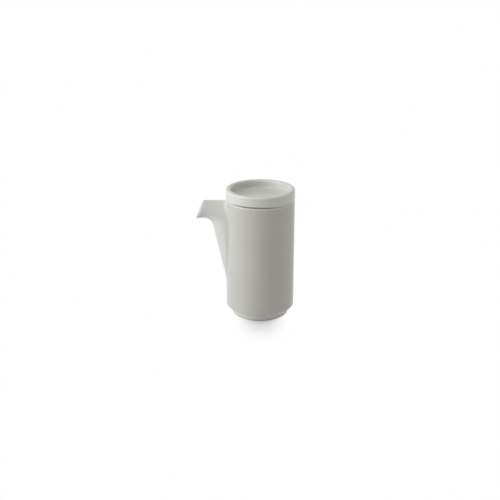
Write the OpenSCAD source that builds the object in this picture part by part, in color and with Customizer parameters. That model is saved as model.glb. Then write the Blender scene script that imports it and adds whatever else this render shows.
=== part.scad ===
// Lidded sauce jug in glazed porcelain: a straight cup on a foot ring, a hollow beak spout and a loose lid.
// Millimetres. The origin is on the cup's axis at the table, +Z is up, and the spout points to -X.

/* [Cup] */
// Outer diameter of the cup
body_d = 60; // [56:1:76]
// Height of the rim above the table
rim_h = 105.2; // [100:0.1:130]
// Thickness of the cup's wall
wall = 3.5; // [3:0.1:4.5]
// Thickness of the cup's floor above the foot
floor_t = 4; // [3:0.5:8]
// Rounding of the cup's outer bottom edge
bottom_edge_r = 1.6; // [0.5:0.1:2.2]
// Rounding of the rim's outer edge
rim_edge_r = 0.9; // [0.4:0.1:1.7]
// Rounding of the rim's inner edge
mouth_edge_r = 0.5; // [0.3:0.1:1]
// Cove between the floor and the wall inside the cup
cup_cove_r = 5; // [2:0.5:8]

/* [Foot] */
// Outer diameter of the foot ring
foot_d = 50; // [40:0.5:52]
// Height of the foot ring, up to the step under the cup
foot_h = 6.6; // [5.6:0.1:10]
// Width of the foot ring
foot_ring_w = 4; // [3:0.5:6]
// Depth of the hollow inside the foot ring
foot_recess = 5; // [2.5:0.5:5.5]
// Rounding of the foot ring's two edges on the table
foot_edge_r = 0.6; // [0.4:0.1:1.2]
// Fillet between the foot and the step, and inside the foot ring
foot_fillet_r = 0.8; // [0.3:0.1:1]

/* [Lid] */
// Height of the lid's top above the cup's rim
lid_h = 9.5; // [8.5:0.1:14]
// How far the lid's side stands out past the cup's side
lid_overhang = 0.3; // [0:0.1:1]
// Shadow gap between the lid's side and the cup's rim
seam_gap = 0.95; // [0.3:0.05:1.2]
// Width of the land that the lid rests on, out from the cup's mouth
seat_w = 1.4; // [1.2:0.1:2.1]
// Width of the raised rim round the dish in the lid's top
dish_rim_w = 4.6; // [3.4:0.1:7]
// Depth of the dish in the lid's top
dish_depth = 6.6; // [4:0.1:7.5]
// Cove between the dish's floor and its wall
dish_cove_r = 1.5; // [0.5:0.1:4]
// Rounding of the raised rim's outer edge
lid_edge_r = 1.6; // [0.5:0.1:1.8]
// Rounding of the raised rim's inner edge
dish_edge_r = 1.4; // [0.3:0.1:1.5]
// Rounding of the lid's lower outer edge
lid_low_edge_r = 0.5; // [0.3:0.1:1]
// Thickness of the lid under the dish
lid_web_t = 3.5; // [2.5:0.1:5]
// Depth of the locating flange below the cup's rim
flange_depth = 9; // [6:0.5:11]
// Thickness of the locating flange
flange_t = 3; // [2.5:0.1:4]
// Clearance between the flange and the cup's mouth, all round
flange_clearance = 0.5; // [0.3:0.1:1]
// Rounding of the flange's lower edges
flange_edge_r = 1; // [0.4:0.1:1.1]
// Cove between the flange and the lid's underside
lid_cove_r = 2; // [0.5:0.1:3]

/* [Spout] */
// Depth of the spout's ridge below the cup's rim
ridge_drop = 1.3; // [1:0.1:4]
// Reach of the ridge's end from the cup's side
ridge_reach = 19.8; // [16:0.1:24]
// Reach of the throat's centre from the cup's side
throat_reach = 19.4; // [17:0.1:22]
// Depth of the throat's highest point below the ridge
beak_h = 16; // [14:0.1:20]
// Radius of the hollow under the beak
throat_r = 8; // [6:0.5:10]
// Length of the lip past the throat
lip_len = 6.8; // [5:0.1:9]
// Droop of the lip below level, in degrees
lip_droop = 4.5; // [0:0.5:8]
// Angle between the keel and the cup's side, in degrees
keel_angle = 12.8; // [11:0.1:18]
// Rounding of the ridge
ridge_r = 2; // [1:0.1:3]
// Flare of the flanks below the ridge, in degrees
ridge_flare = 32; // [25:1:40]
// Rounding of the keel
keel_r = 2.5; // [1:0.1:3]
// Flare of the flanks behind the keel, in degrees
keel_flare = 44; // [35:1:50]
// Half the greatest width of the spout at the cup
root_half_w = 10; // [8:0.1:12]
// Half the width of the spout at the lip
lip_half_w = 4.6; // [4:0.1:6]
// Depth to which the flanks are eased in at the mouth
lip_ease = 1.3; // [0:0.1:1.4]
// Length of the eased stretch along the lip
lip_ease_len = 4.5; // [1.5:0.1:6]
// Thickness of the spout's wall
spout_wall = 2.2; // [1.5:0.1:2.5]
// Width of the pour opening in the cup's wall
pour_w = 7; // [4.5:0.5:8]
// Depth of the pour opening's top below the ridge
pour_drop = 13; // [12:0.5:18]

/* [Hidden] */
$fn = 96;
porcelain = [0.80, 0.80, 0.77];

// Points on a round edge, and the spare length of a cutting shape
edge_steps = 6;
cut_spare = 1;
// Most of a wall's thickness that the rounding of one of its edges takes
edge_share = 0.49;
// Most of the spout's wall that the easing at its mouth takes
ease_share = 0.6;

body_r = body_d / 2;
mouth_r = body_r - wall;
floor_z = foot_h + floor_t;
rim_edge = min(rim_edge_r, edge_share * wall);
mouth_edge = min(mouth_edge_r, edge_share * wall);
foot_r = foot_d / 2;
foot_in_r = foot_r - foot_ring_w;
foot_edge = min(foot_edge_r, edge_share * foot_ring_w);

lid_r = body_r + lid_overhang;
lid_top_z = rim_h + lid_h;
dish_r = lid_r - dish_rim_w;
dish_z = lid_top_z - dish_depth;
web_z = dish_z - lid_web_t;
seat_r = mouth_r + seat_w;
side_z = rim_h + seam_gap;
flange_r = mouth_r - flange_clearance;
flange_in_r = flange_r - flange_t;
flange_z = rim_h - flange_depth;
flange_edge = min(flange_edge_r, edge_share * flange_t);
lid_edge = min(lid_edge_r, edge_share * dish_rim_w);
dish_edge = min(dish_edge_r, edge_share * min(dish_rim_w, dish_depth));
dish_cove = min(dish_cove_r, dish_depth - dish_edge);
lid_cove = min(lid_cove_r, web_z - flange_z - flange_edge);

ridge_z = rim_h - ridge_drop;
ridge_end_x = -body_r - ridge_reach;
throat_x = -body_r - throat_reach;
throat_z = ridge_z - beak_h - throat_r;
lip_angle = 90 + lip_droop;
mouth_ease = min(lip_ease, ease_share * spout_wall);
pour_top_z = ridge_z - pour_drop;

// The spout's sections start this far inside the cup's side, where the cup then cuts them off
root_x = -body_r + wall;

// Sharpness of the blend between the three limits on the spout's width
blend_power = 4;
// Least rounding inside the spout's channel
channel_min_r = 0.6;

// Sections along the keel, the throat, the lip and the lip's round edge, and points on one flank of a section
keel_sections = 12;
throat_sections = 8;
lip_sections = 8;
lip_round_sections = 6;
flank_points = 16;

// Points on an arc, from one angle to another
function arc(cx, cy, r, from, to, steps = edge_steps) =
    [for (i = [0:steps]) let (a = from + (to - from) * i / steps) [cx + r * cos(a), cy + r * sin(a)]];

// Half width of a wedge with a round nose, at a depth behind the nose
function wedge(depth, r, flare) =
    let (nose = r * (1 - sin(flare)))
    depth <= 0 ? 0
    : depth < nose ? sqrt(depth * (2 * r - depth))
    : r * cos(flare) + (depth - nose) * tan(flare);

// Rounding of a wedge's nose after its flanks are moved in by a wall
function inner_r(r, inset) = inset == 0 ? r : max(r - inset, min(r, channel_min_r));

// How far the nose itself moves back when the flanks are moved in by a wall
function nose_shift(r, flare, inset) =
    (r - inner_r(r, inset)) * (1 - 1 / sin(flare)) + inset / sin(flare);

// Depth behind the nose at which a wedge has a given half width
function wedge_depth(half_w, r, flare) = r * (1 - sin(flare)) + (half_w - r * cos(flare)) / tan(flare);

function unit(angle) = [cos(angle), sin(angle)];

// Depth of a point of the side view behind the keel, the throat and the lip
function under_depth(p) =
    let (v = p - [throat_x, throat_z])
    let (angle = min(max(atan2(v[1], v[0]), keel_angle), lip_angle))
    v * unit(angle) - throat_r;

// The pour opening's foot is where the spout's channel gets as wide as the opening, at the cup's side
pour_low_depth = wedge_depth(pour_w / 2, inner_r(keel_r, spout_wall), keel_flare)
    + nose_shift(keel_r, keel_flare, spout_wall);
pour_low_z = throat_z + (pour_low_depth + throat_r - throat_reach * cos(keel_angle)) / sin(keel_angle);

// Half width limit in plan, from the lip to the cup
function plan_half_w(x) =
    lip_half_w + (root_half_w - lip_half_w) * (x - tip_x) / (-body_r - tip_x);

// Half width of the spout at a point of its side view, moved in by a wall's inset and by easing
function spout_half_w(p, inset, ease) =
    let (below_ridge = ridge_z - p[1] - nose_shift(ridge_r, ridge_flare, inset))
    let (behind_keel = under_depth(p) - nose_shift(keel_r, keel_flare, inset))
    let (a = wedge(below_ridge, inner_r(ridge_r, inset), ridge_flare))
    let (b = wedge(behind_keel, inner_r(keel_r, inset), keel_flare))
    let (c = plan_half_w(p[0]) - inset - ease)
    a <= 0 || b <= 0 ? 0
    : pow(pow(a, -blend_power) + pow(b, -blend_power) + pow(c, -blend_power), -1 / blend_power);

// The under edge in the side view. Each place on it is [point, angle of its inward normal].
keel_top = [throat_x, throat_z] + throat_r * unit(keel_angle);
keel_len = (root_x - keel_top[0]) / sin(keel_angle);
lip_start = [throat_x, throat_z] + throat_r * unit(lip_angle);
tip_x = lip_start[0] - lip_len * cos(lip_droop);
function keel_place(s) = [keel_top + s * unit(keel_angle - 90), keel_angle];
function throat_place(angle) = [[throat_x, throat_z] + throat_r * unit(angle), angle];
function lip_place(s) = [lip_start + s * unit(lip_angle + 90), lip_angle];

// How far the flanks are eased in at a length along the lip, on a round curve that ends at the mouth.
// The channel's own skin isn't eased.
function eased(s, inset) =
    let (share = max(0, 1 - (lip_len - s) / lip_ease_len))
    mouth_ease * (1 - sqrt(1 - share * share)) * (1 - inset / spout_wall);

// One closed section of the spout, on the line from a place on the under edge up to the ridge
function section(place, inset, ease = 0) =
    let (low = place[0])
    let (share = (low[0] - root_x) / (tip_x - root_x))
    let (high = [root_x + share * (ridge_end_x - root_x), ridge_z])
    let (rise = (high - low) / norm(high - low))
    let (lean = rise * unit(place[1]))
    let (k = nose_shift(keel_r, keel_flare, inset))
    let (on_throat = place[1] > keel_angle && place[1] < lip_angle)
    let (low_gap = on_throat
        ? sqrt(pow(throat_r * lean, 2) + 2 * throat_r * k + k * k) - throat_r * lean
        : k / lean)
    let (high_gap = nose_shift(ridge_r, ridge_flare, inset) / rise[1])
    let (span = norm(high - low) - low_gap - high_gap)
    [for (i = [0:2 * flank_points - 1])
        let (side = i <= flank_points ? 1 : -1)
        let (p = low + rise * (low_gap + span * (1 - cos(180 * i / flank_points)) / 2))
        let (at_edge = i == 0 || i == flank_points)
        [p[0], at_edge ? 0 : side * spout_half_w(p, inset, ease), p[1]]];

function lip_section(s, inset) = section(lip_place(s), inset, eased(s, inset));

// Sections of one skin of the spout, from the cup out to where the lip's round edge starts
lip_straight = lip_len - spout_wall / 2;
function skin(inset) = concat(
    [for (i = [0:keel_sections - 1]) section(keel_place(keel_len * (1 - i / keel_sections)), inset)],
    [for (i = [0:throat_sections - 1])
        section(throat_place(keel_angle + (lip_angle - keel_angle) * i / throat_sections), inset)],
    [for (i = [0:lip_sections]) lip_section(lip_straight * i / lip_sections, inset)]);

// Sections round the lip, from the outer skin to the inner one
function lip_round() =
    [for (i = [1:lip_round_sections - 1])
        let (a = 180 * i / lip_round_sections)
        lip_section(lip_straight + spout_wall / 2 * sin(a), spout_wall / 2 * (1 - cos(a)))];

function reversed(list) = [for (i = [len(list) - 1:-1:0]) list[i]];

// A closed skin through rings of points, where the last ring joins the first
module ring_solid(rings) {
    n = len(rings[0]);
    m = len(rings);
    faces = [for (j = [0:m - 1], i = [0:n - 1])
        let (a = j * n + i, b = j * n + (i + 1) % n)
        let (c = (j + 1) % m * n + (i + 1) % n, d = (j + 1) % m * n + i)
        each [[a, b, c], [a, c, d]]];
    polyhedron([for (ring = rings) each ring], faces, convexity = 6);
}

module cup_shape() {
    rotate_extrude() polygon(concat(
        [[0, foot_recess]],
        arc(foot_in_r - foot_fillet_r, foot_recess - foot_fillet_r, foot_fillet_r, 90, 0),
        arc(foot_in_r + foot_edge, foot_edge, foot_edge, 180, 270),
        arc(foot_r - foot_edge, foot_edge, foot_edge, 270, 360),
        arc(foot_r + foot_fillet_r, foot_h - foot_fillet_r, foot_fillet_r, 180, 90),
        arc(body_r - bottom_edge_r, foot_h + bottom_edge_r, bottom_edge_r, 270, 360),
        arc(body_r - rim_edge, rim_h - rim_edge, rim_edge, 0, 90),
        arc(mouth_r + mouth_edge, rim_h - mouth_edge, mouth_edge, 90, 180),
        arc(mouth_r - cup_cove_r, floor_z + cup_cove_r, cup_cove_r, 0, -90),
        [[0, floor_z]]));
}

// A tall slot with round ends through the cup's wall behind the spout
module pour_opening() {
    end_r = pour_w / 2;
    translate([-body_r - cut_spare, 0, 0]) rotate([90, 0, 90]) linear_extrude(wall + 2 * cut_spare) {
        translate([0, pour_top_z - end_r]) circle(end_r);
        translate([0, pour_low_z + end_r]) circle(end_r);
        translate([-end_r, pour_low_z + end_r]) square([pour_w, pour_top_z - pour_low_z - pour_w]);
    }
}

module jug_body() {
    color(porcelain) difference() {
        cup_shape();
        pour_opening();
    }
}

module spout() {
    color(porcelain) difference() {
        ring_solid(concat(skin(0), lip_round(), reversed(skin(spout_wall))));
        translate([0, 0, -rim_h]) cylinder(h = 3 * rim_h, r = body_r);
    }
}

module lid() {
    color(porcelain) rotate_extrude() polygon(concat(
        [[0, web_z]],
        arc(flange_in_r - lid_cove, web_z - lid_cove, lid_cove, 90, 0),
        arc(flange_in_r + flange_edge, flange_z + flange_edge, flange_edge, 180, 270),
        arc(flange_r - flange_edge, flange_z + flange_edge, flange_edge, 270, 360),
        [[flange_r, rim_h], [seat_r, rim_h], [seat_r, side_z]],
        arc(lid_r - lid_low_edge_r, side_z + lid_low_edge_r, lid_low_edge_r, 270, 360),
        arc(lid_r - lid_edge, lid_top_z - lid_edge, lid_edge, 0, 90),
        arc(dish_r + dish_edge, lid_top_z - dish_edge, dish_edge, 90, 180),
        arc(dish_r - dish_cove, dish_z + dish_cove, dish_cove, 0, -90),
        [[0, dish_z]]));
}

jug_body();
spout();
lid();
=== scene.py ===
"""Looks of the lidded sauce jug: the meshes of its three pieces, their glaze, the stage and the camera."""

import math
from collections import namedtuple

import bpy
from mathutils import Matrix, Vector


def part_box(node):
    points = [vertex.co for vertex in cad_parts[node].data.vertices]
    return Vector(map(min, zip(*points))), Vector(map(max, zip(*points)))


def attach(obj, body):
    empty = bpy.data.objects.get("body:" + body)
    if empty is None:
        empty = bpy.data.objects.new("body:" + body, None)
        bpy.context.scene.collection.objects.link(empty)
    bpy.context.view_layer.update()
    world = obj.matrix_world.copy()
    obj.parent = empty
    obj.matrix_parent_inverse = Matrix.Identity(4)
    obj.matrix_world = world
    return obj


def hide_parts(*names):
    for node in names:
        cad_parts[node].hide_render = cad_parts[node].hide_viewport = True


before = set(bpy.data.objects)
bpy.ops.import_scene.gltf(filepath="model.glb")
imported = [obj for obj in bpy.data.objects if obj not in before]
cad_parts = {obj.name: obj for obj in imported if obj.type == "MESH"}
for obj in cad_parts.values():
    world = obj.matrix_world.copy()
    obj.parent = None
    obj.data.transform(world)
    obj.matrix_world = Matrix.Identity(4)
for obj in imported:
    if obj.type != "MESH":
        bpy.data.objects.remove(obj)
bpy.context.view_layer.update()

# One millimetre in metres. The pieces are worked out in millimetres, and the stage in metres.
MM = 0.001

# Sizes taken from the frame
cup_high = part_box("jug_body")[1]
lid_low, lid_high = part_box("lid")
spout_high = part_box("spout")[1]
CUP_R = cup_high.x / MM
RIM_Z = cup_high.z / MM
LID_R = lid_high.x / MM
LID_TOP_Z = lid_high.z / MM
FLANGE_Z = lid_low.z / MM
RIDGE_Z = spout_high.z / MM

# Cup and foot
WALL = 3.5
CUP_FLOOR_T = 4.0
BOTTOM_EDGE_R = 1.6
RIM_EDGE_R = 0.9
MOUTH_EDGE_R = 0.5
CUP_COVE_R = 5.0
FOOT_R = 25.0
FOOT_H = 6.6
FOOT_RING_W = 4.0
FOOT_RECESS = 5.0
FOOT_EDGE_R = 0.6
FOOT_FILLET_R = 0.8
MOUTH_R = CUP_R - WALL
CUP_FLOOR_Z = FOOT_H + CUP_FLOOR_T
FOOT_IN_R = FOOT_R - FOOT_RING_W

# Pour opening behind the spout
POUR_W = 7.0
POUR_DROP = 13.0
POUR_H = 34.6
POUR_TOP_Z = RIDGE_Z - POUR_DROP
POUR_LOW_Z = POUR_TOP_Z - POUR_H

# Lid
SEAM_GAP = 0.95
SEAT_W = 1.4
DISH_RIM_W = 4.6
DISH_DEPTH = 6.6
DISH_COVE_R = 1.5
LID_EDGE_R = 1.6
DISH_EDGE_R = 1.4
LID_LOW_EDGE_R = 0.5
LID_WEB_T = 3.5
FLANGE_T = 3.0
FLANGE_GAP = 0.5
FLANGE_EDGE_R = 1.0
LID_COVE_R = 2.0
SEAT_R = MOUTH_R + SEAT_W

# The lid's lower edge isn't quite flat, as on a hand-made lid. The seam under it is fully open near the
# front and the back, and nearly closed at the sides. These are its least height, the angle of its widest
# place in degrees, how fast it closes, and the height on the lid's side over which the change fades out.
SEAM_CLOSED = 0.12
SEAM_WIDEST = -104.0
SEAM_POWER = 5
SEAM_FADE = 5.0

# Spout, with its angles in degrees
RIDGE_REACH = 19.8
THROAT_REACH = 19.4
BEAK_H = 16.0
THROAT_R = 8.0
LIP_LEN = 6.8
LIP_DROOP = 4.5
KEEL_ANGLE = 12.8
RIDGE_R = 2.0
RIDGE_FLARE = 32.0
KEEL_R = 2.5
KEEL_FLARE = 44.0
ROOT_HALF_W = 10.0
LIP_HALF_W = 4.6
LIP_EASE = 1.3
LIP_EASE_LEN = 4.5
SPOUT_WALL = 2.2
BLEND_POWER = 4
CHANNEL_MIN_R = 0.6
LIP_ROUND_R = SPOUT_WALL / 2
LIP_ANGLE = 90 + LIP_DROOP
ROOT_X = -CUP_R + WALL

# Fillet between the spout and the cup: its reach on the flanks, at the ridge and at the keel, how fast the
# reach grows between them, how far the ends of its curve hold their direction, and how deep its edge sits
# in the cup's wall
FILLET_FLANK = 5.5
FILLET_RIDGE = 0.4
FILLET_KEEL = 1.2
FILLET_POWER = 0.6
FILLET_GRIP = 0.6
SKIRT_DEPTH = 0.4
FILLET_TOP_Z = RIM_Z - RIM_EDGE_R

# Painted shading on the glaze: above 0 it is painted shade in hollows and creases, below 0 it is painted
# light on rounded edges, under the rim, on the foot and in a band beside the spout
COVE_PAINTED_SHADE = 1.0
DISH_PAINTED_SHADE = 0.5
EDGE_PAINTED_LIGHT = -0.25
RIM_PAINTED_HIGHLIGHT = -1.0
FOOT_PAINTED_LIGHT = -1.0
BAND_PAINTED_LIGHT = -0.6

# Width of the painted highlight band under the rim, and widths over which the painted light fades there and
# on the foot
RIM_BAND = 0.6
RIM_FADE = 0.4
FOOT_FADE = 0.8

# Where the painted shade in the fillet's crease ends and a band of painted light beside the cup starts, as
# shares of the way up from the keel to the ridge
PAINTED_SHADE_ENDS = (0.72, 0.86)
BAND_STARTS = (0.64, 0.8)

# Fineness of the meshes. The guard step is how close to its ends a long straight gets extra points.
ROUND_SEGMENTS = 192
EDGE_STEPS = 8
LONGEST_STEP = 2.0
GUARD_STEP = 0.12
SHORT_STRAIGHT = 4 * GUARD_STEP
KEEL_SECTIONS = 40
THROAT_SECTIONS = 20
LIP_SECTIONS = 16
LIP_ROUND_SECTIONS = 12
FLANK_POINTS = 40
FILLET_STEPS = 14
# Odd, so that no corner of the pour opening lies on the cup's middle line
POUR_END_STEPS = 23
# A small step that gives a direction on the cup's side
NUDGE = 0.01


# Helpers for points, lines and meshes
def unit(degrees):
    """The direction at an angle."""
    a = math.radians(degrees)
    return Vector((math.cos(a), math.sin(a)))


def radius(p):
    """A point's distance from the cup's axis."""
    return math.hypot(p.x, p.y)


def smooth(value, low, high):
    """Goes from 0 to 1 between two values, with soft ends."""
    share = min(max((value - low) / (high - low), 0.0), 1.0)
    return share * share * (3 - 2 * share)


def soft_share(i, steps):
    """Goes from 0 to 1 in some steps and back to 0 in as many, with short steps near 0 and 1."""
    return (1 - math.cos(math.pi * i / steps)) / 2


def cubic(p0, p1, p2, p3, t):
    """A point of the curve that leaves p0 towards p1 and comes to p3 from p2."""
    s = 1 - t
    return p0 * s**3 + p1 * (3 * s * s * t) + p2 * (3 * s * t * t) + p3 * t**3


def along(points, share):
    """A point at a share of the length of a line of points."""
    lengths = [(b - a).length for a, b in zip(points, points[1:])]
    left = share * sum(lengths)
    for a, b, length in zip(points, points[1:], lengths):
        if left <= length:
            return a.lerp(b, left / length if length else 0)
        left -= length
    return points[-1]


def linked(name, data):
    """A new object in the scene."""
    obj = bpy.data.objects.new(name, data)
    bpy.context.scene.collection.objects.link(obj)
    return obj


def mesh_of(name, points, faces):
    """A mesh from points in millimetres."""
    mesh = bpy.data.meshes.new(name)
    mesh.from_pydata([Vector(p) * MM for p in points], [], faces)
    return mesh


def skin_object(name, points, faces, coats):
    """A smooth piece. Each coat is a number that its points keep about their glaze.

    Painted shading is painted shade where above 0 and painted light where below 0, bare is 1 where there
    is no glaze, and own is the share of the piece's own colour, which is less where it runs into the cup's.
    """
    mesh = mesh_of(name, points, faces)
    mesh.polygons.foreach_set("use_smooth", [True] * len(mesh.polygons))
    for coat, values in coats.items():
        mesh.attributes.new(coat, "FLOAT", "POINT").data.foreach_set("value", values)
    mesh.validate()
    return linked(name, mesh)


# Outlines turned about the axis, with the coats of their points
OutlinePoint = namedtuple("OutlinePoint", "r z pool bare")


def plain(r, z, pool=0.0):
    """A glazed point of an outline."""
    return OutlinePoint(r, z, pool, 0.0)


def bared(*places):
    """Points of an outline without glaze, on a face that a piece stands on or inside the seam, where the
    clay's dark colour is partly painted shade.
    """
    return [OutlinePoint(r, z, 0.0, 1.0) for r, z in places]


def bend(cx, cz, r, start, end, pool):
    """Points of a round corner, from one angle to another. Its painted shading is strongest in its middle.
    """
    points = []
    for i in range(EDGE_STEPS + 1):
        share = i / EDGE_STEPS
        a = math.radians(start + (end - start) * share)
        points.append(plain(cx + r * math.cos(a), cz + r * math.sin(a), pool * math.sin(math.pi * share)))
    return points


def edge(cx, cz, r, start, end):
    """A round outer corner, a little paler as painted light."""
    return bend(cx, cz, r, start, end, EDGE_PAINTED_LIGHT)


def cove(cx, cz, r, start, end):
    """A round inner corner, darker as painted shade."""
    return bend(cx, cz, r, start, end, COVE_PAINTED_SHADE)


def rim_edge():
    """The rim's outer corner and a band below it, made paler as a painted highlight."""
    band_z = RIM_Z - RIM_EDGE_R - RIM_BAND
    corner = edge(CUP_R - RIM_EDGE_R, RIM_Z - RIM_EDGE_R, RIM_EDGE_R, 0, 90)
    band = [plain(CUP_R, band_z - RIM_FADE), plain(CUP_R, band_z, RIM_PAINTED_HIGHLIGHT)]
    return band + [plain(p.r, p.z, RIM_PAINTED_HIGHLIGHT) for p in corner]


def foot_side():
    """The foot's side, up to the step under the cup, made paler as painted light from the floor."""
    low_z = FOOT_EDGE_R + FOOT_FADE
    high_z = FOOT_H - FOOT_FILLET_R - FOOT_FADE
    return (
        edge(FOOT_R - FOOT_EDGE_R, FOOT_EDGE_R, FOOT_EDGE_R, 270, 360)
        + [plain(FOOT_R, low_z, FOOT_PAINTED_LIGHT), plain(FOOT_R, high_z, FOOT_PAINTED_LIGHT)]
        + bend(FOOT_R + FOOT_FILLET_R, FOOT_H - FOOT_FILLET_R, FOOT_FILLET_R, 180, 90, FOOT_PAINTED_LIGHT)
    )


def cup_outline():
    """From the middle of the foot's recess, up the outside and down the inside to the cup's floor."""
    return (
        [plain(0, FOOT_RECESS)]
        + cove(FOOT_IN_R - FOOT_FILLET_R, FOOT_RECESS - FOOT_FILLET_R, FOOT_FILLET_R, 90, 0)
        + edge(FOOT_IN_R + FOOT_EDGE_R, FOOT_EDGE_R, FOOT_EDGE_R, 180, 270)
        + bared((FOOT_IN_R + FOOT_EDGE_R + GUARD_STEP, 0), (FOOT_R - FOOT_EDGE_R - GUARD_STEP, 0))
        + foot_side()
        + edge(CUP_R - BOTTOM_EDGE_R, FOOT_H + BOTTOM_EDGE_R, BOTTOM_EDGE_R, 270, 360)
        + rim_edge()
        + bared((CUP_R - RIM_EDGE_R - GUARD_STEP, RIM_Z), (MOUTH_R + MOUTH_EDGE_R + GUARD_STEP, RIM_Z))
        + edge(MOUTH_R + MOUTH_EDGE_R, RIM_Z - MOUTH_EDGE_R, MOUTH_EDGE_R, 90, 180)
        + cove(MOUTH_R - CUP_COVE_R, CUP_FLOOR_Z + CUP_COVE_R, CUP_COVE_R, 0, -90)
        + [plain(0, CUP_FLOOR_Z)]
    )


def lid_outline():
    """From the middle of the underside, round the flange and up the side to the middle of the dish."""
    flange_r = MOUTH_R - FLANGE_GAP
    flange_in_r = flange_r - FLANGE_T
    side_z = RIM_Z + SEAM_GAP
    side_r = LID_R - LID_LOW_EDGE_R
    dish_r = LID_R - DISH_RIM_W
    dish_z = LID_TOP_Z - DISH_DEPTH
    web_z = dish_z - LID_WEB_T
    return (
        [plain(0, web_z)]
        + cove(flange_in_r - LID_COVE_R, web_z - LID_COVE_R, LID_COVE_R, 90, 0)
        + edge(flange_in_r + FLANGE_EDGE_R, FLANGE_Z + FLANGE_EDGE_R, FLANGE_EDGE_R, 180, 270)
        + edge(flange_r - FLANGE_EDGE_R, FLANGE_Z + FLANGE_EDGE_R, FLANGE_EDGE_R, 270, 360)
        + [plain(flange_r, RIM_Z - GUARD_STEP)]
        + bared((flange_r, RIM_Z), (SEAT_R, RIM_Z), (SEAT_R, side_z), (side_r - GUARD_STEP, side_z))
        + edge(side_r, side_z + LID_LOW_EDGE_R, LID_LOW_EDGE_R, 270, 360)
        + edge(LID_R - LID_EDGE_R, LID_TOP_Z - LID_EDGE_R, LID_EDGE_R, 0, 90)
        + edge(dish_r + DISH_EDGE_R, LID_TOP_Z - DISH_EDGE_R, DISH_EDGE_R, 90, 180)
        # The dish's cove carries painted shade
        + bend(dish_r - DISH_COVE_R, dish_z + DISH_COVE_R, DISH_COVE_R, 0, -90, DISH_PAINTED_SHADE)
        + [plain(0, dish_z)]
    )


def refined(outline):
    """The outline with points added on its long straights, close to their ends and evenly between."""
    points = [outline[0]]
    for a, b in zip(outline, outline[1:]):
        length = math.hypot(b.r - a.r, b.z - a.z)
        shares = []
        if length > SHORT_STRAIGHT:
            steps = max(1, math.ceil(length / LONGEST_STEP))
            evenly = [i / steps for i in range(1, steps)]
            shares = [GUARD_STEP / length] + evenly + [1 - GUARD_STEP / length]
        for share in shares:
            points.append(OutlinePoint(*(start + (end - start) * share for start, end in zip(a, b))))
        points.append(b)
    return points


def turned(name, outline):
    """A solid of revolution whose outline starts and ends on the axis."""
    rows = refined(outline)
    n = ROUND_SEGMENTS
    points = [(0, 0, rows[0].z)]
    for row in rows[1:-1]:
        for i in range(n):
            a = 2 * math.pi * i / n
            points.append((row.r * math.cos(a), row.r * math.sin(a), row.z))
    points.append((0, 0, rows[-1].z))
    last = len(points) - 1
    faces = []
    for i in range(n):
        k = (i + 1) % n
        faces.append((0, 1 + k, 1 + i))
        faces.append((last, last - n + i, last - n + k))
        for j in range(len(rows) - 3):
            low = 1 + j * n
            faces.append((low + i, low + k, low + n + k, low + n + i))
    owners = [rows[0]] + [row for row in rows[1:-1] for i in range(n)] + [rows[-1]]
    coats = {
        "pool": [row.pool for row in owners],
        "bare": [row.bare for row in owners],
        "own": [1.0] * len(points),
    }
    return skin_object(name, points, faces, coats)


# Lid
def settle_lid_edge(obj):
    """Lowers the lid's lower edge where the seam closes. The change fades out up the lid's side."""
    edge_z = RIM_Z + SEAM_GAP + LID_LOW_EDGE_R
    for vertex in obj.data.vertices:
        p = vertex.co / MM
        height = p.z - RIM_Z
        if radius(p) < SEAT_R - GUARD_STEP or height < 0:
            continue
        turn = math.atan2(p.y, p.x) - math.radians(SEAM_WIDEST)
        drop = (SEAM_GAP - SEAM_CLOSED) * (1 - abs(math.cos(turn)) ** SEAM_POWER)
        in_gap = min(height / SEAM_GAP, 1.0)
        vertex.co.z -= drop * in_gap * smooth(p.z, edge_z + SEAM_FADE, edge_z) * MM


def lid_object():
    """The lid, with its uneven lower edge."""
    obj = turned("lid_skin", lid_outline())
    settle_lid_edge(obj)
    return obj


# Cup
def slot_cutter():
    """A tall shape with round ends that cuts the pour opening through the cup's wall."""
    end_r = POUR_W / 2
    outline = []
    for centre_z, start in ((POUR_TOP_Z - end_r, 0), (POUR_LOW_Z + end_r, 180)):
        for i in range(POUR_END_STEPS + 1):
            a = math.radians(start + 180 * i / POUR_END_STEPS)
            outline.append((end_r * math.cos(a), centre_z + end_r * math.sin(a)))
    n = len(outline)
    points = []
    for x in (-CUP_R - WALL, -MOUTH_R + WALL):
        points += [(x, y, z) for y, z in outline]
    faces = [tuple(reversed(range(n))), tuple(range(n, 2 * n))]
    faces += [(i, (i + 1) % n, (i + 1) % n + n, i + n) for i in range(n)]
    return linked("slot_cutter", mesh_of("slot_cutter", points, faces))


def applied(obj):
    """Turns the object's modifiers into its mesh."""
    graph = bpy.context.evaluated_depsgraph_get()
    mesh = bpy.data.meshes.new_from_object(obj.evaluated_get(graph))
    obj.modifiers.clear()
    obj.data = mesh


def cup_object():
    """The cup with its foot and its pour opening."""
    obj = turned("cup_skin", cup_outline())
    cutter = slot_cutter()
    cut = obj.modifiers.new("pour_opening", "BOOLEAN")
    cut.operation = "DIFFERENCE"
    cut.solver = "EXACT"
    cut.object = cutter
    applied(obj)
    bpy.data.objects.remove(cutter)
    return obj


# Spout, with the main points of its side view
THROAT = Vector((-CUP_R - THROAT_REACH, RIDGE_Z - BEAK_H - THROAT_R))
KEEL_TOP = THROAT + THROAT_R * unit(KEEL_ANGLE)
LIP_START = THROAT + THROAT_R * unit(LIP_ANGLE)
LIP_WAY = unit(LIP_ANGLE + 90)
TIP_X = LIP_START.x + LIP_LEN * LIP_WAY.x


def wedge(depth, r, flare):
    """Half width of a wedge with a round nose, at a depth behind the nose."""
    a = math.radians(flare)
    nose = r * (1 - math.sin(a))
    if depth <= 0:
        return 0.0
    if depth < nose:
        return math.sqrt(depth * (2 * r - depth))
    return r * math.cos(a) + (depth - nose) * math.tan(a)


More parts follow.
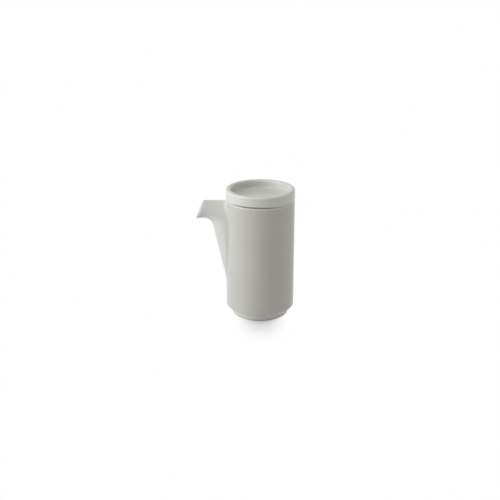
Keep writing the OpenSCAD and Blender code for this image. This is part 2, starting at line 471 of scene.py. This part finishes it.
def inner_r(r, inset):
    """Radius of a nose whose flanks are moved in by an inset."""
    return r if inset == 0 else max(r - inset, min(r, CHANNEL_MIN_R))


def nose_shift(r, flare, inset):
    """How far a wedge's nose moves back when its flanks are moved in by an inset."""
    s = math.sin(math.radians(flare))
    return (r - inner_r(r, inset)) * (1 - 1 / s) + inset / s


def under_depth(p):
    """Depth of a point of the side view behind the keel, the throat and the lip."""
    v = p - THROAT
    angle = math.degrees(math.atan2(v.y, v.x))
    return v.dot(unit(min(max(angle, KEEL_ANGLE), LIP_ANGLE))) - THROAT_R


def eased(s, inset):
    """How far the flanks are eased in at a length along the lip. The channel's own skin isn't eased."""
    share = max(0.0, 1 - (LIP_LEN - s) / LIP_EASE_LEN)
    return LIP_EASE * (1 - math.sqrt(1 - share * share)) * (1 - inset / SPOUT_WALL)


def spout_half_w(p, inset, ease):
    """Half width of the spout at a point of its side view, moved in by an inset and by easing."""
    below_ridge = RIDGE_Z - p.y - nose_shift(RIDGE_R, RIDGE_FLARE, inset)
    behind_keel = under_depth(p) - nose_shift(KEEL_R, KEEL_FLARE, inset)
    a = wedge(below_ridge, inner_r(RIDGE_R, inset), RIDGE_FLARE)
    b = wedge(behind_keel, inner_r(KEEL_R, inset), KEEL_FLARE)
    plan = LIP_HALF_W + (ROOT_HALF_W - LIP_HALF_W) * (p.x - TIP_X) / (-CUP_R - TIP_X) - inset - ease
    if a <= 0 or b <= 0:
        return 0.0
    return (a**-BLEND_POWER + b**-BLEND_POWER + plan**-BLEND_POWER) ** (-1 / BLEND_POWER)


def lip_place(s):
    """The place on the under edge at a length along the lip."""
    return LIP_START + s * LIP_WAY, LIP_ANGLE, s


def under_edge():
    """Places on the under edge, from the cup out: point, angle of the inward normal, length of lip."""
    keel_len = (ROOT_X - KEEL_TOP.x) / math.sin(math.radians(KEEL_ANGLE))
    lip_len = LIP_LEN - LIP_ROUND_R
    places = []
    for i in range(KEEL_SECTIONS):
        s = keel_len * (1 - i / KEEL_SECTIONS)
        places.append((KEEL_TOP + s * unit(KEEL_ANGLE - 90), KEEL_ANGLE, 0.0))
    for i in range(THROAT_SECTIONS):
        angle = KEEL_ANGLE + (LIP_ANGLE - KEEL_ANGLE) * i / THROAT_SECTIONS
        places.append((THROAT + THROAT_R * unit(angle), angle, 0.0))
    for i in range(LIP_SECTIONS + 1):
        places.append(lip_place(lip_len * i / LIP_SECTIONS))
    return places


def low_gap(angle, lean, inset):
    """How far a section's low end moves up when the spout's skin is moved in by an inset."""
    shift = nose_shift(KEEL_R, KEEL_FLARE, inset)
    if KEEL_ANGLE < angle < LIP_ANGLE:
        reach = THROAT_R * lean
        return math.sqrt(reach**2 + 2 * THROAT_R * shift + shift**2) - reach
    return shift / lean


def section(place, inset):
    """One closed ring of the spout, on the line from a place on the under edge up to the ridge."""
    low, angle, lip_s = place
    share = (low.x - ROOT_X) / (TIP_X - ROOT_X)
    high = Vector((ROOT_X + share * (-CUP_R - RIDGE_REACH - ROOT_X), RIDGE_Z))
    rise = (high - low).normalized()
    gap = low_gap(angle, rise.dot(unit(angle)), inset)
    span = (high - low).length - gap - nose_shift(RIDGE_R, RIDGE_FLARE, inset) / rise.y
    ring = []
    for i in range(2 * FLANK_POINTS):
        side = 1 if i <= FLANK_POINTS else -1
        p = low + rise * (gap + span * soft_share(i, FLANK_POINTS))
        half_w = 0.0 if i in (0, FLANK_POINTS) else spout_half_w(p, inset, eased(lip_s, inset))
        ring.append(Vector((p.x, side * half_w, p.y)))
    return ring


def up_ring(i):
    """How far up its ring a point lies, from 0 at the keel to 1 at the ridge."""
    return 1 - abs(i / FLANK_POINTS - 1)


def spout_lines(inset, places):
    """The spout's skin as lines of points from the cup to the lip, one for each place round a ring."""
    return list(zip(*[section(place, inset) for place in places]))


def on_cup(arc_len, z, r=CUP_R):
    """A point on the cup's side, from its distance round the side from the spout, and its height."""
    a = math.pi - arc_len / CUP_R
    return Vector((r * math.cos(a), r * math.sin(a), z))


def crossing(line, r):
    """Where a line along the spout leaves a radius about the axis: index of the next point, point."""
    j = next(k for k, p in enumerate(line) if radius(p) >= r)
    a, b = radius(line[j - 1]), radius(line[j])
    return j, line[j - 1].lerp(line[j], (r - a) / (b - a))


def root_curve(lines):
    """The closed curve where the spout meets the cup, unrolled to (distance round the side, height)."""
    curve = []
    for line in lines:
        p = crossing(line, CUP_R)[1]
        curve.append(Vector(((math.pi - math.atan2(p.y, p.x)) % (2 * math.pi), p.z)))
    for p in curve:
        if p.x > math.pi:
            p.x -= 2 * math.pi
        p.x *= CUP_R
    return curve


def outward(curve, i):
    """The direction away from the spout, in the unrolled side of the cup."""
    ahead = curve[(i + 1) % len(curve)] - curve[i - 1]
    middle = sum(curve, Vector((0, 0))) / len(curve)
    normal = Vector((ahead.y, -ahead.x)).normalized()
    return normal if normal.dot(curve[i] - middle) > 0 else -normal


def walk_out(line, distance):
    """A point along the line, a distance out from the cup, with the next point's index and the way in."""
    j, p = crossing(line, CUP_R)
    left = distance
    while (line[j] - p).length < left:
        left -= (line[j] - p).length
        p = line[j]
        j += 1
    way = (line[j] - p).normalized()
    return p + way * left, j, -way


def fillet_reach(i):
    """How far the fillet reaches from the corner between spout and cup, at a place round the ring."""
    share = up_ring(i)
    ends = FILLET_KEEL + (FILLET_RIDGE - FILLET_KEEL) * share
    return ends + (FILLET_FLANK - ends) * math.sin(math.pi * share) ** FILLET_POWER


def fillet_line(i, line, curve):
    """The fillet from inside the cup's wall up to the spout, and the index of the line's next point."""
    reach = fillet_reach(i)
    grip = FILLET_GRIP * reach
    top, first, way_in = walk_out(line, reach)
    away = outward(curve, i)
    foot = curve[i] + away * reach
    foot.y = min(foot.y, FILLET_TOP_Z)
    end = on_cup(foot.x, foot.y)
    back = (on_cup(foot.x - away.x * NUDGE, foot.y - away.y * NUDGE) - end).normalized()
    points = [on_cup(foot.x, foot.y, CUP_R - SKIRT_DEPTH)]
    for k in range(FILLET_STEPS + 1):
        t = soft_share(k, FILLET_STEPS)
        points.append(cubic(end, end + back * grip, top + way_in * grip, top, t))
    return points, first


def rings_between(lines, fillets, starts):
    """Rings from the fillet's top to the first section that every line has passed."""
    first_whole = max(starts)
    rows = first_whole - min(starts) + 2
    rings = []
    for k in range(1, rows):
        ring = []
        for line, fillet, first in zip(lines, fillets, starts):
            span = [fillet[-1]] + list(line[first:first_whole + 1])
            ring.append(along(span, k / rows))
        rings.append(ring)
    return rings


def lip_rings():
    """Rings round the lip's edge, from the outer skin to the channel."""
    rings = []
    for k in range(1, LIP_ROUND_SECTIONS):
        a = math.pi * k / LIP_ROUND_SECTIONS
        place = lip_place(LIP_LEN - LIP_ROUND_R + LIP_ROUND_R * math.sin(a))
        rings.append(section(place, LIP_ROUND_R * (1 - math.cos(a))))
    return rings


def channel_rings(places):
    """Rings of the channel, from the lip back into the cup's wall."""
    cuts = [crossing(line, CUP_R - SKIRT_DEPTH) for line in spout_lines(SPOUT_WALL, places)]
    first_whole = max(j for j, p in cuts)
    rings = [section(place, SPOUT_WALL) for place in reversed(places[first_whole:])]
    return rings + [[p for j, p in cuts]]


def spout_rings():
    """Rings from the fillet out over the lip and back down the channel, and how many are the fillet's."""
    places = under_edge()
    lines = spout_lines(0, places)
    curve = root_curve(lines)
    fillets, starts = zip(*[fillet_line(i, line, curve) for i, line in enumerate(lines)])
    rings = list(zip(*fillets))
    fillet_rings = len(rings)
    rings += rings_between(lines, fillets, starts)
    rings += [section(place, 0) for place in places[max(starts):]]
    rings += lip_rings() + channel_rings(places)
    return rings, fillet_rings


def fillet_painted_shading(i, share):
    """Painted shading at a share of the way over the fillet.

    It is painted shade in the crease between the flanks and the cup, and painted light in a band beside the
    cup near the ridge.
    """
    height = up_ring(i)
    shade_part = (1 - smooth(height, *PAINTED_SHADE_ENDS)) * math.sin(math.pi * share) ** 2
    band = smooth(height, *BAND_STARTS) * math.sin(math.pi * min(2 * share, 1)) ** 2
    return COVE_PAINTED_SHADE * shade_part + BAND_PAINTED_LIGHT * band


def sharpen(obj, n, rings):
    """Makes some rings sharp, in a mesh whose rings have n points each."""
    for line in obj.data.edges:
        a, b = (v // n for v in line.vertices)
        if a == b and a in rings:
            line.use_edge_sharp = True


def spout_object():
    """The spout with its channel, and the fillet that joins it to the cup."""
    rings, fillet_rings = spout_rings()
    n = len(rings[0])
    points = [p for ring in rings for p in ring]
    faces = []
    coats = {"pool": [], "bare": [0.0] * len(points), "own": []}
    for j in range(len(rings)):
        ahead = (j + 1) % len(rings)
        share = min(j / fillet_rings, 1)
        for i in range(n):
            k = (i + 1) % n
            faces.append((j * n + i, ahead * n + i, ahead * n + k, j * n + k))
            coats["pool"].append(fillet_painted_shading(i, share))
            coats["own"].append(share)
    obj = skin_object("spout_skin", points, faces, coats)
    # The fillet's edge on the cup and the channel's end in the cup's wall
    sharpen(obj, n, (1, len(rings) - 1))
    return obj


# Colours, as red, green, blue and opacity
CUP_COLOUR = (0.61, 0.61, 0.585, 1)
# The spout's and the lid's glaze is the cup's, painted lighter as painted light
SPOUT_PAINTED_LIGHT_COLOUR = (0.742, 0.75, 0.74, 1)
LID_PAINTED_LIGHT_COLOUR = (0.748, 0.76, 0.73, 1)
# Bare clay, real where a piece stands, and painted dark as painted shade inside the seam under the lid
BARE_CLAY_SEAM_SHADE_COLOUR = (0.42, 0.4, 0.36, 1)
WHITE = (1, 1, 1, 1)
BLACK = (0, 0, 0, 1)

# Specular level and least and greatest roughness of a glaze, and the roughness of bare clay
SATIN = (0.25, 0.30, 0.40)
GLOSSY = (0.4, 0.16, 0.24)
BARE_ROUGHNESS = 0.75

# Brightness of painted shade and of painted light on the glaze, and how far the brightness of plain glaze
# strays
PAINTED_SHADE_TONE = 0.77
PAINTED_LIGHT_TONE = 1.2
TONE_RANGE = (0.98, 1.02)

# Scale and detail of the noise in the glaze's tone, roughness and bump, and the range of it that is used
TONE_NOISE = (38, 3)
ROUGH_NOISE = (160, 4)
BUMP_NOISE = (420, 2)
NOISE_RANGE = (0.3, 0.7)

# Strength of the fine bumps in the glaze, and their height in metres
BUMP_STRENGTH = 0.15
BUMP_HEIGHT = 0.0002

# Sockets of a mix node for numbers and for colours: its two values and its result
MIX_SOCKETS = {"FLOAT": (2, 3, 0), "RGBA": (6, 7, 2)}


# Shader nodes
def add_node(tree, kind, **settings):
    """A new node with some of its settings."""
    node = tree.nodes.new(kind)
    for key, value in settings.items():
        setattr(node, key, value)
    return node


def feed(tree, socket, value):
    """Links a socket to another node's output, or sets it to a plain value."""
    if isinstance(value, bpy.types.NodeSocket):
        tree.links.new(value, socket)
    else:
        socket.default_value = value


def place_on(tree):
    """The place on the object, in its own coordinates."""
    return add_node(tree, "ShaderNodeTexCoord").outputs["Object"]


def attribute(tree, name):
    """A coat of the piece's points."""
    return add_node(tree, "ShaderNodeAttribute", attribute_name=name).outputs["Fac"]


def noise(tree, scale, detail):
    """Noise over the piece."""
    texture = add_node(tree, "ShaderNodeTexNoise")
    feed(tree, texture.inputs["Vector"], place_on(tree))
    feed(tree, texture.inputs["Scale"], scale)
    feed(tree, texture.inputs["Detail"], detail)
    return texture.outputs["Fac"]


def spread(tree, value, source, target=(0, 1), kind="LINEAR"):
    """Maps one range to another, and keeps to its ends beyond them."""
    ramp = add_node(tree, "ShaderNodeMapRange", interpolation_type=kind)
    feed(tree, ramp.inputs["Value"], value)
    for name, number in zip(("From Min", "From Max", "To Min", "To Max"), source + target):
        feed(tree, ramp.inputs[name], number)
    return ramp.outputs["Result"]


def soft_rise(tree, value, low, high):
    """Goes from 0 to 1 between two values, with soft ends."""
    return spread(tree, value, (low, high), kind="SMOOTHSTEP")


def number_math(tree, operation, a, b):
    """A number worked out from two others."""
    node = add_node(tree, "ShaderNodeMath", operation=operation)
    feed(tree, node.inputs[0], a)
    feed(tree, node.inputs[1], b)
    return node.outputs[0]


def vector_math(tree, operation, a, b):
    """A vector worked out from two others."""
    node = add_node(tree, "ShaderNodeVectorMath", operation=operation)
    feed(tree, node.inputs[0], a)
    feed(tree, node.inputs[1], b)
    return node.outputs["Vector"]


def scaled(tree, vector, factor):
    """A vector or a colour times a number."""
    node = add_node(tree, "ShaderNodeVectorMath", operation="SCALE")
    feed(tree, node.inputs[0], vector)
    feed(tree, node.inputs["Scale"], factor)
    return node.outputs["Vector"]


def length_of(tree, vector):
    """A vector's length."""
    node = add_node(tree, "ShaderNodeVectorMath", operation="LENGTH")
    feed(tree, node.inputs[0], vector)
    return node.outputs["Value"]


def mixed(tree, factor, a, b, kind="RGBA"):
    """Goes from a to b as the factor goes from 0 to 1."""
    first, second, result = MIX_SOCKETS[kind]
    mix = add_node(tree, "ShaderNodeMix", data_type=kind)
    feed(tree, mix.inputs["Factor"], factor)
    feed(tree, mix.inputs[first], a)
    feed(tree, mix.inputs[second], b)
    return mix.outputs[result]


def grey(level):
    """A colour without hue."""
    return level, level, level, 1


def node_material(name):
    """A new material made of nodes."""
    material = bpy.data.materials.new(name)
    material.use_nodes = True
    return material


# Glazes
def glaze_tone(tree):
    """Brightness of the glaze: a little uneven, with painted shade in hollows and painted light on edges and
    bands.
    """
    uneven = spread(tree, noise(tree, *TONE_NOISE), NOISE_RANGE, TONE_RANGE)
    shade_part = spread(tree, attribute(tree, "pool"), (0, 1), (1, PAINTED_SHADE_TONE))
    light_part = spread(tree, attribute(tree, "pool"), (0, -1), (1, PAINTED_LIGHT_TONE))
    return number_math(tree, "MULTIPLY", number_math(tree, "MULTIPLY", uneven, shade_part), light_part)


def glaze_colour(tree, colour):
    """The piece's own colour, the cup's where the fillet meets it, and the clay's where it is bare. The
    spout's and the lid's own colours are the cup's glaze painted lighter as painted light, and the bare
    clay's dark tone is partly painted shade in the seam.
    """
    glaze = mixed(tree, attribute(tree, "own"), CUP_COLOUR, colour)
    surface = mixed(tree, attribute(tree, "bare"), glaze, BARE_CLAY_SEAM_SHADE_COLOUR)
    return scaled(tree, surface, glaze_tone(tree))


def glaze_roughness(tree, least, greatest):
    """A little uneven on the glaze, and plain on bare clay."""
    glaze = spread(tree, noise(tree, *ROUGH_NOISE), NOISE_RANGE, (least, greatest))
    return mixed(tree, attribute(tree, "bare"), glaze, BARE_ROUGHNESS, "FLOAT")


def glaze_bump(tree):
    """The fine unevenness of the glaze."""
    bump = add_node(tree, "ShaderNodeBump")
    feed(tree, bump.inputs["Strength"], BUMP_STRENGTH)
    feed(tree, bump.inputs["Distance"], BUMP_HEIGHT)
    feed(tree, bump.inputs["Height"], noise(tree, *BUMP_NOISE))
    return bump.outputs["Normal"]


def glaze_material(name, colour, finish):
    """A glaze of one colour and finish."""
    specular, least_rough, greatest_rough = finish
    material = node_material(name)
    tree = material.node_tree
    inputs = tree.nodes["Principled BSDF"].inputs
    feed(tree, inputs["Base Color"], glaze_colour(tree, colour))
    feed(tree, inputs["Roughness"], glaze_roughness(tree, least_rough, greatest_rough))
    feed(tree, inputs["Specular IOR Level"], specular)
    feed(tree, inputs["Normal"], glaze_bump(tree))
    return material


CUP_GLAZE = glaze_material("cup_glaze", CUP_COLOUR, SATIN)
SPOUT_PAINTED_LIGHT_GLAZE = glaze_material("spout_glaze_painted_light", SPOUT_PAINTED_LIGHT_COLOUR, SATIN)
LID_PAINTED_LIGHT_GLAZE = glaze_material("lid_glaze_painted_light", LID_PAINTED_LIGHT_COLOUR, GLOSSY)

# Pieces
cup = cup_object()
spout = spout_object()
lid = lid_object()
for piece, glaze, node, body in (
    (cup, CUP_GLAZE, "jug_body", "jug"),
    (spout, SPOUT_PAINTED_LIGHT_GLAZE, "spout", "jug"),
    (lid, LID_PAINTED_LIGHT_GLAZE, "lid", "lid"),
):
    piece.data.materials.append(glaze)
    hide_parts(node)
    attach(piece, body)

# The floor is plain white, apart from a shaded place in front of the foot, where it is seen as paper under
# a lamp. There, half of its brightness is its own glow, and the rest is the lamp's, less the jug's shadow.
FLOOR_PAPER = 0.8
FLOOR_ROUGHNESS = 0.9
FLOOR_NEAR = 0.48
FLOOR_FAR = 1.0

# Centre and half widths of the shaded place, and the share of it that is fully shaded
SHADE_CENTRE = (0.001, -0.027, 0)
SHADE_REACH = (0.0255, 0.052, 1)
SHADE_CORE = 0.12

# What the floor lends to the jug from below, in the open and in the shadow round the foot, and the distances
# from the axis between which the shadow ends
FLOOR_LIGHT = (0.541, 0.535, 0.523, 1)
CONTACT_LIGHT = (0.108, 0.107, 0.105, 1)
CONTACT_REACH = 0.0245
LIT_REACH = 0.029

# A painted contact shadow: the dark line that is seen where the foot meets the floor, and the distance from
# the axis where it ends
PAINTED_CONTACT_SHADOW = 0.2
CONTACT_END = 0.028

# Half the floor's width, and its height, a hair under the foot so that the two faces don't lie in one plane
FLOOR_HALF = 6.0
FLOOR_Z = -0.0001


def seen_ray(tree):
    """1 for a ray that shows the stage, also in a reflection, and 0 for a ray that carries its light."""
    path = add_node(tree, "ShaderNodeLightPath").outputs
    shown = number_math(tree, "MAXIMUM", path["Is Camera Ray"], path["Is Glossy Ray"])
    return number_math(tree, "MAXIMUM", shown, path["Is Transmission Ray"])


def outside_shade(tree, place):
    """0 in the core of the shaded place, and 1 outside it."""
    from_centre = vector_math(tree, "SUBTRACT", place, SHADE_CENTRE)
    in_reaches = vector_math(tree, "DIVIDE", from_centre, SHADE_REACH)
    return soft_rise(tree, length_of(tree, in_reaches), SHADE_CORE, 1)


def floor_paper(tree, outside):
    """The paper that the camera sees in the shaded place."""
    camera_ray = add_node(tree, "ShaderNodeLightPath").outputs["Is Camera Ray"]
    paper = mixed(tree, outside, grey(FLOOR_PAPER), BLACK)
    return mixed(tree, camera_ray, BLACK, paper)


def floor_glow(tree, place, outside):
    """The floor's glow: what is seen of it, and what it lends to the jug."""
    from_axis = length_of(tree, place)
    lit = soft_rise(tree, from_axis, CONTACT_REACH, LIT_REACH)
    lent = mixed(tree, lit, CONTACT_LIGHT, FLOOR_LIGHT)
    beyond_contact = soft_rise(tree, from_axis, CONTACT_REACH, CONTACT_END)
    # The painted contact shadow round the foot
    near = mixed(tree, beyond_contact, grey(PAINTED_CONTACT_SHADOW), grey(FLOOR_NEAR))
    seen = mixed(tree, outside, near, grey(FLOOR_FAR))
    return mixed(tree, seen_ray(tree), lent, seen)


def clear_from_below(tree, shader):
    """Lets the foot be seen through the floor from below."""
    sides = add_node(tree, "ShaderNodeMixShader")
    feed(tree, sides.inputs["Fac"], add_node(tree, "ShaderNodeNewGeometry").outputs["Backfacing"])
    feed(tree, sides.inputs[1], shader.outputs["BSDF"])
    feed(tree, sides.inputs[2], add_node(tree, "ShaderNodeBsdfTransparent").outputs["BSDF"])
    feed(tree, tree.nodes["Material Output"].inputs["Surface"], sides.outputs["Shader"])


def floor_material():
    """Dull white paper with a glow."""
    material = node_material("white_floor")
    tree = material.node_tree
    shader = tree.nodes["Principled BSDF"]
    place = place_on(tree)
    outside = outside_shade(tree, place)
    feed(tree, shader.inputs["Base Color"], floor_paper(tree, outside))
    feed(tree, shader.inputs["Roughness"], FLOOR_ROUGHNESS)
    feed(tree, shader.inputs["Specular IOR Level"], 0)
    feed(tree, shader.inputs["Emission Color"], floor_glow(tree, place, outside))
    feed(tree, shader.inputs["Emission Strength"], 1)
    clear_from_below(tree, shader)
    return material


def floor_object():
    """A square floor under the jug."""
    mesh = bpy.data.meshes.new("floor")
    corners = [(x * FLOOR_HALF, y * FLOOR_HALF, FLOOR_Z) for x, y in ((-1, -1), (1, -1), (1, 1), (-1, 1))]
    mesh.from_pydata(corners, [], [(0, 1, 2, 3)])
    mesh.materials.append(floor_material())
    return linked("floor", mesh)


def white_world():
    """White where it is seen, and dark to other rays, so that it doesn't light the jug."""
    world = bpy.data.worlds.new("studio")
    world.use_nodes = True
    tree = world.node_tree
    inputs = tree.nodes["Background"].inputs
    feed(tree, inputs["Strength"], seen_ray(tree))
    feed(tree, inputs["Color"], WHITE)
    bpy.context.scene.world = world


floor = floor_object()
white_world()

# Soft lights on the jug: name, azimuth and elevation in degrees, power in watts, and colour. Azimuth 0 is
# behind the camera, and 90 is to the left.
JUG_LIGHTS = (
    ("key", 75, 10, 11.2, (1.0, 1.0, 1.0)),
    ("high_left", 75, 35, 3.4, (1.0, 1.0, 1.0)),
    ("right", 270, 10, 4.0, (1.05, 1.0, 0.95)),
    ("front", 0, 25, 1.15, (1.14, 1.03, 0.83)),
    ("top", 90, 88, 4.9, (1.01, 1.01, 0.98)),
)
# The light on the floor, in the same order
FLOOR_LAMP = ("table", 180, 50, 33, (1.0, 1.0, 1.0))
JUG_LIGHT_SIZE = 1.0
FLOOR_LAMP_SIZE = 2.4
LIGHT_DISTANCE = 1.2
LIGHT_AIM = Vector((0, 0, 0.06))


def area_light(name, azimuth, elevation, power, colour, size):
    """A square soft light that faces the jug."""
    data = bpy.data.lights.new(name, "AREA")
    data.shape = "SQUARE"
    data.size = size
    data.energy = power
    data.color = colour
    obj = linked(name, data)
    a = math.radians(azimuth)
    e = math.radians(elevation)
    way = Vector((-math.sin(a) * math.cos(e), -math.cos(a) * math.cos(e), math.sin(e)))
    obj.location = LIGHT_AIM + way * LIGHT_DISTANCE
    obj.rotation_euler = (-way).to_track_quat("-Z", "Y").to_euler()
    obj.visible_camera = False
    return obj


def lit_only(light, pieces):
    """Keeps a light on some objects alone."""
    group = bpy.data.collections.new(light.name + "_lights")
    for piece in pieces:
        group.objects.link(piece)
    light.light_linking.receiver_collection = group


for settings in JUG_LIGHTS:
    lit_only(area_light(*settings, JUG_LIGHT_SIZE), (cup, spout, lid))
lit_only(area_light(*FLOOR_LAMP, FLOOR_LAMP_SIZE), (floor,))

# Camera: pitch in degrees, distance from the point it looks at, that point, lens and sensor in millimetres
CAMERA_PITCH = 19.98
CAMERA_DISTANCE = 0.8438
CAMERA_AIM = Vector((-0.00901, 0, 0.05754))
CAMERA_LENS = 68.4
CAMERA_SENSOR = 36


def camera_object():
    """A camera in front of the jug that looks down on it."""
    data = bpy.data.cameras.new("camera")
    data.lens = CAMERA_LENS
    data.sensor_width = CAMERA_SENSOR
    obj = linked("camera", data)
    pitch = math.radians(CAMERA_PITCH)
    obj.location = CAMERA_AIM + CAMERA_DISTANCE * Vector((0, -math.cos(pitch), math.sin(pitch)))
    obj.rotation_euler = (math.pi / 2 - pitch, 0, 0)
    return obj


bpy.context.scene.camera = camera_object()
bpy.context.scene.view_settings.view_transform = "Standard"
